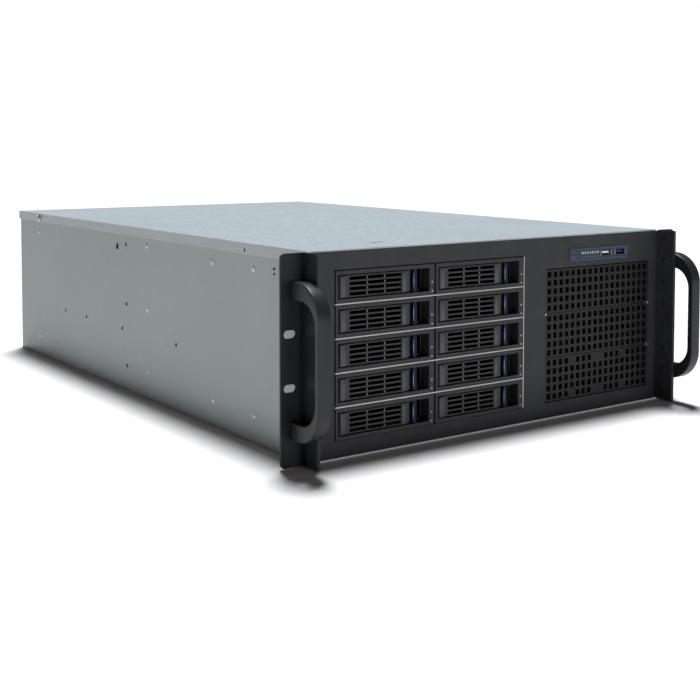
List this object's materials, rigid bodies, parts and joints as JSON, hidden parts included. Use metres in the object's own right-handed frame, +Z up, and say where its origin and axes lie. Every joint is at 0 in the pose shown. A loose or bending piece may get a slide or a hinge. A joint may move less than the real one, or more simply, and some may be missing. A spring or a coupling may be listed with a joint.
{
  "type": "rack storage enclosure",
  "caption": "Rack storage enclosure with hot-swap drive trays, stacked bays with perforated covers, a control strip, rack ears and bow handles.",
  "frame": {"origin": "on the resting face, midway across, in the plane of the front faces of the rack flanges", "axes": "+X to the right seen from the front, +Y towards the back, +Z up"},
  "size_m": [0.4826, 0.7428, 0.1773],
  "materials": {
    "zinc_steel": "satin zinc-coated sheet",
    "cover_steel": "satin zinc-coated sheet",
    "front_black": "fine powder coat",
    "ear_black": "fine powder coat",
    "handle_black": "satin anodised",
    "screw_steel": "zinc plated",
    "rivet_steel": "dull",
    "cage_steel": "bare zinc-coated sheet",
    "circuit_board": "solder mask",
    "grille_black": "fine powder coat",
    "strip_blue": "printed film",
    "button_plastic": "moulded",
    "fan_plastic": "moulded",
    "tray_plastic": "moulded",
    "lever_plastic": "moulded",
    "latch_plastic": "moulded"
  },
  "bodies": {
    "chassis": {"base_pan": "zinc_steel", "rear_panel": "zinc_steel", "front_panel": "front_black", "ear_left": "ear_black", "ear_right": "ear_black", "handle_left": "handle_black", "handle_right": "handle_black", "handle_screws": "screw_steel", "rivets": "rivet_steel", "drive_cage": "cage_steel", "backplane": "circuit_board", "bay_cage": "cage_steel", "bay_cover_1": "grille_black", "bay_cover_2": "grille_black", "bay_cover_3": "grille_black", "control_strip": "strip_blue", "control_board": "circuit_board", "fan_wall": "zinc_steel", "mid_fan_frames": "fan_plastic", "rear_fan_frames": "fan_plastic", "slot_covers": "zinc_steel"},
    "cover": {"top_cover": "cover_steel", "cover_screws": "screw_steel"},
    "power_button": {"power_button": "button_plastic"},
    "reset_button": {"reset_button": "button_plastic"},
    "mid_rotor_1": {"mid_rotor_1": "fan_plastic"},
    "mid_rotor_2": {"mid_rotor_2": "fan_plastic"},
    "mid_rotor_3": {"mid_rotor_3": "fan_plastic"},
    "rear_rotor_1": {"rear_rotor_1": "fan_plastic"},
    "rear_rotor_2": {"rear_rotor_2": "fan_plastic"},
    "tray_01": {"tray_01": "tray_plastic"},
    "lever_01": {"lever_01": "lever_plastic"},
    "latch_01": {"latch_01": "latch_plastic"},
    "tray_02": {"tray_02": "tray_plastic"},
    "lever_02": {"lever_02": "lever_plastic"},
    "latch_02": {"latch_02": "latch_plastic"},
    "tray_03": {"tray_03": "tray_plastic"},
    "lever_03": {"lever_03": "lever_plastic"},
    "latch_03": {"latch_03": "latch_plastic"},
    "tray_04": {"tray_04": "tray_plastic"},
    "lever_04": {"lever_04": "lever_plastic"},
    "latch_04": {"latch_04": "latch_plastic"},
    "tray_05": {"tray_05": "tray_plastic"},
    "lever_05": {"lever_05": "lever_plastic"},
    "latch_05": {"latch_05": "latch_plastic"},
    "tray_06": {"tray_06": "tray_plastic"},
    "lever_06": {"lever_06": "lever_plastic"},
    "latch_06": {"latch_06": "latch_plastic"},
    "tray_07": {"tray_07": "tray_plastic"},
    "lever_07": {"lever_07": "lever_plastic"},
    "latch_07": {"latch_07": "latch_plastic"},
    "tray_08": {"tray_08": "tray_plastic"},
    "lever_08": {"lever_08": "lever_plastic"},
    "latch_08": {"latch_08": "latch_plastic"},
    "tray_09": {"tray_09": "tray_plastic"},
    "lever_09": {"lever_09": "lever_plastic"},
    "latch_09": {"latch_09": "latch_plastic"},
    "tray_10": {"tray_10": "tray_plastic"},
    "lever_10": {"lever_10": "lever_plastic"},
    "latch_10": {"latch_10": "latch_plastic"}
  },
  "joints": [
    {"name": "cover_slide", "type": "slide", "parent": "chassis", "child": "cover", "axis": [0, 1, 0], "range_m": [0, 0.018]},
    {"name": "power_press", "type": "slide", "parent": "chassis", "child": "power_button", "axis": [0, 1, 0], "range_m": [0, 0.0012], "stiffness_N_per_m": 400, "springref_m": -0.001},
    {"name": "reset_press", "type": "slide", "parent": "chassis", "child": "reset_button", "axis": [0, 1, 0], "range_m": [0, 0.0012], "stiffness_N_per_m": 400, "springref_m": -0.001},
    {"name": "mid_rotor_1_spin", "type": "hinge", "parent": "chassis", "child": "mid_rotor_1", "pos_m": [-0.127, 0.3497, 0.084], "axis": [0, 1, 0], "continuous": true},
    {"name": "mid_rotor_2_spin", "type": "hinge", "parent": "chassis", "child": "mid_rotor_2", "pos_m": [0, 0.3497, 0.084], "axis": [0, 1, 0], "continuous": true},
    {"name": "mid_rotor_3_spin", "type": "hinge", "parent": "chassis", "child": "mid_rotor_3", "pos_m": [0.127, 0.3497, 0.084], "axis": [0, 1, 0], "continuous": true},
    {"name": "rear_rotor_1_spin", "type": "hinge", "parent": "chassis", "child": "rear_rotor_1", "pos_m": [-0.012, 0.6763, 0.118], "axis": [0, 1, 0], "continuous": true},
    {"name": "rear_rotor_2_spin", "type": "hinge", "parent": "chassis", "child": "rear_rotor_2", "pos_m": [0.072, 0.6763, 0.118], "axis": [0, 1, 0], "continuous": true},
    {"name": "tray_01_slide", "type": "slide", "parent": "chassis", "child": "tray_01", "axis": [0, -1, 0], "range_m": [0, 0.15]},
    {"name": "lever_01_hinge", "type": "hinge", "parent": "tray_01", "child": "lever_01", "pos_m": [-0.1804, 0.0047, 0.02902], "axis": [0, 0, -1], "range_deg": [0, 70]},
    {"name": "latch_01_press", "type": "slide", "parent": "tray_01", "child": "latch_01", "axis": [1, 0, 0], "range_m": [0, 0.0014], "stiffness_N_per_m": 400, "springref_m": -0.001},
    {"name": "tray_02_slide", "type": "slide", "parent": "chassis", "child": "tray_02", "axis": [0, -1, 0], "range_m": [0, 0.15]},
    {"name": "lever_02_hinge", "type": "hinge", "parent": "tray_02", "child": "lever_02", "pos_m": [-0.1804, 0.0047, 0.05816], "axis": [0, 0, -1], "range_deg": [0, 70]},
    {"name": "latch_02_press", "type": "slide", "parent": "tray_02", "child": "latch_02", "axis": [1, 0, 0], "range_m": [0, 0.0014], "stiffness_N_per_m": 400, "springref_m": -0.001},
    {"name": "tray_03_slide", "type": "slide", "parent": "chassis", "child": "tray_03", "axis": [0, -1, 0], "range_m": [0, 0.15]},
    {"name": "lever_03_hinge", "type": "hinge", "parent": "tray_03", "child": "lever_03", "pos_m": [-0.1804, 0.0047, 0.0873], "axis": [0, 0, -1], "range_deg": [0, 70]},
    {"name": "latch_03_press", "type": "slide", "parent": "tray_03", "child": "latch_03", "axis": [1, 0, 0], "range_m": [0, 0.0014], "stiffness_N_per_m": 400, "springref_m": -0.001},
    {"name": "tray_04_slide", "type": "slide", "parent": "chassis", "child": "tray_04", "axis": [0, -1, 0], "range_m": [0, 0.15]},
    {"name": "lever_04_hinge", "type": "hinge", "parent": "tray_04", "child": "lever_04", "pos_m": [-0.1804, 0.0047, 0.11644], "axis": [0, 0, -1], "range_deg": [0, 70]},
    {"name": "latch_04_press", "type": "slide", "parent": "tray_04", "child": "latch_04", "axis": [1, 0, 0], "range_m": [0, 0.0014], "stiffness_N_per_m": 400, "springref_m": -0.001},
    {"name": "tray_05_slide", "type": "slide", "parent": "chassis", "child": "tray_05", "axis": [0, -1, 0], "range_m": [0, 0.15]},
    {"name": "lever_05_hinge", "type": "hinge", "parent": "tray_05", "child": "lever_05", "pos_m": [-0.1804, 0.0047, 0.14558], "axis": [0, 0, -1], "range_deg": [0, 70]},
    {"name": "latch_05_press", "type": "slide", "parent": "tray_05", "child": "latch_05", "axis": [1, 0, 0], "range_m": [0, 0.0014], "stiffness_N_per_m": 400, "springref_m": -0.001},
    {"name": "tray_06_slide", "type": "slide", "parent": "chassis", "child": "tray_06", "axis": [0, -1, 0], "range_m": [0, 0.15]},
    {"name": "lever_06_hinge", "type": "hinge", "parent": "tray_06", "child": "lever_06", "pos_m": [-0.0724, 0.0047, 0.02902], "axis": [0, 0, -1], "range_deg": [0, 70]},
    {"name": "latch_06_press", "type": "slide", "parent": "tray_06", "child": "latch_06", "axis": [1, 0, 0], "range_m": [0, 0.0014], "stiffness_N_per_m": 400, "springref_m": -0.001},
    {"name": "tray_07_slide", "type": "slide", "parent": "chassis", "child": "tray_07", "axis": [0, -1, 0], "range_m": [0, 0.15]},
    {"name": "lever_07_hinge", "type": "hinge", "parent": "tray_07", "child": "lever_07", "pos_m": [-0.0724, 0.0047, 0.05816], "axis": [0, 0, -1], "range_deg": [0, 70]},
    {"name": "latch_07_press", "type": "slide", "parent": "tray_07", "child": "latch_07", "axis": [1, 0, 0], "range_m": [0, 0.0014], "stiffness_N_per_m": 400, "springref_m": -0.001},
    {"name": "tray_08_slide", "type": "slide", "parent": "chassis", "child": "tray_08", "axis": [0, -1, 0], "range_m": [0, 0.15]},
    {"name": "lever_08_hinge", "type": "hinge", "parent": "tray_08", "child": "lever_08", "pos_m": [-0.0724, 0.0047, 0.0873], "axis": [0, 0, -1], "range_deg": [0, 70]},
    {"name": "latch_08_press", "type": "slide", "parent": "tray_08", "child": "latch_08", "axis": [1, 0, 0], "range_m": [0, 0.0014], "stiffness_N_per_m": 400, "springref_m": -0.001},
    {"name": "tray_09_slide", "type": "slide", "parent": "chassis", "child": "tray_09", "axis": [0, -1, 0], "range_m": [0, 0.15]},
    {"name": "lever_09_hinge", "type": "hinge", "parent": "tray_09", "child": "lever_09", "pos_m": [-0.0724, 0.0047, 0.11644], "axis": [0, 0, -1], "range_deg": [0, 70]},
    {"name": "latch_09_press", "type": "slide", "parent": "tray_09", "child": "latch_09", "axis": [1, 0, 0], "range_m": [0, 0.0014], "stiffness_N_per_m": 400, "springref_m": -0.001},
    {"name": "tray_10_slide", "type": "slide", "parent": "chassis", "child": "tray_10", "axis": [0, -1, 0], "range_m": [0, 0.15]},
    {"name": "lever_10_hinge", "type": "hinge", "parent": "tray_10", "child": "lever_10", "pos_m": [-0.0724, 0.0047, 0.14558], "axis": [0, 0, -1], "range_deg": [0, 70]},
    {"name": "latch_10_press", "type": "slide", "parent": "tray_10", "child": "latch_10", "axis": [1, 0, 0], "range_m": [0, 0.0014], "stiffness_N_per_m": 400, "springref_m": -0.001}
  ]
}
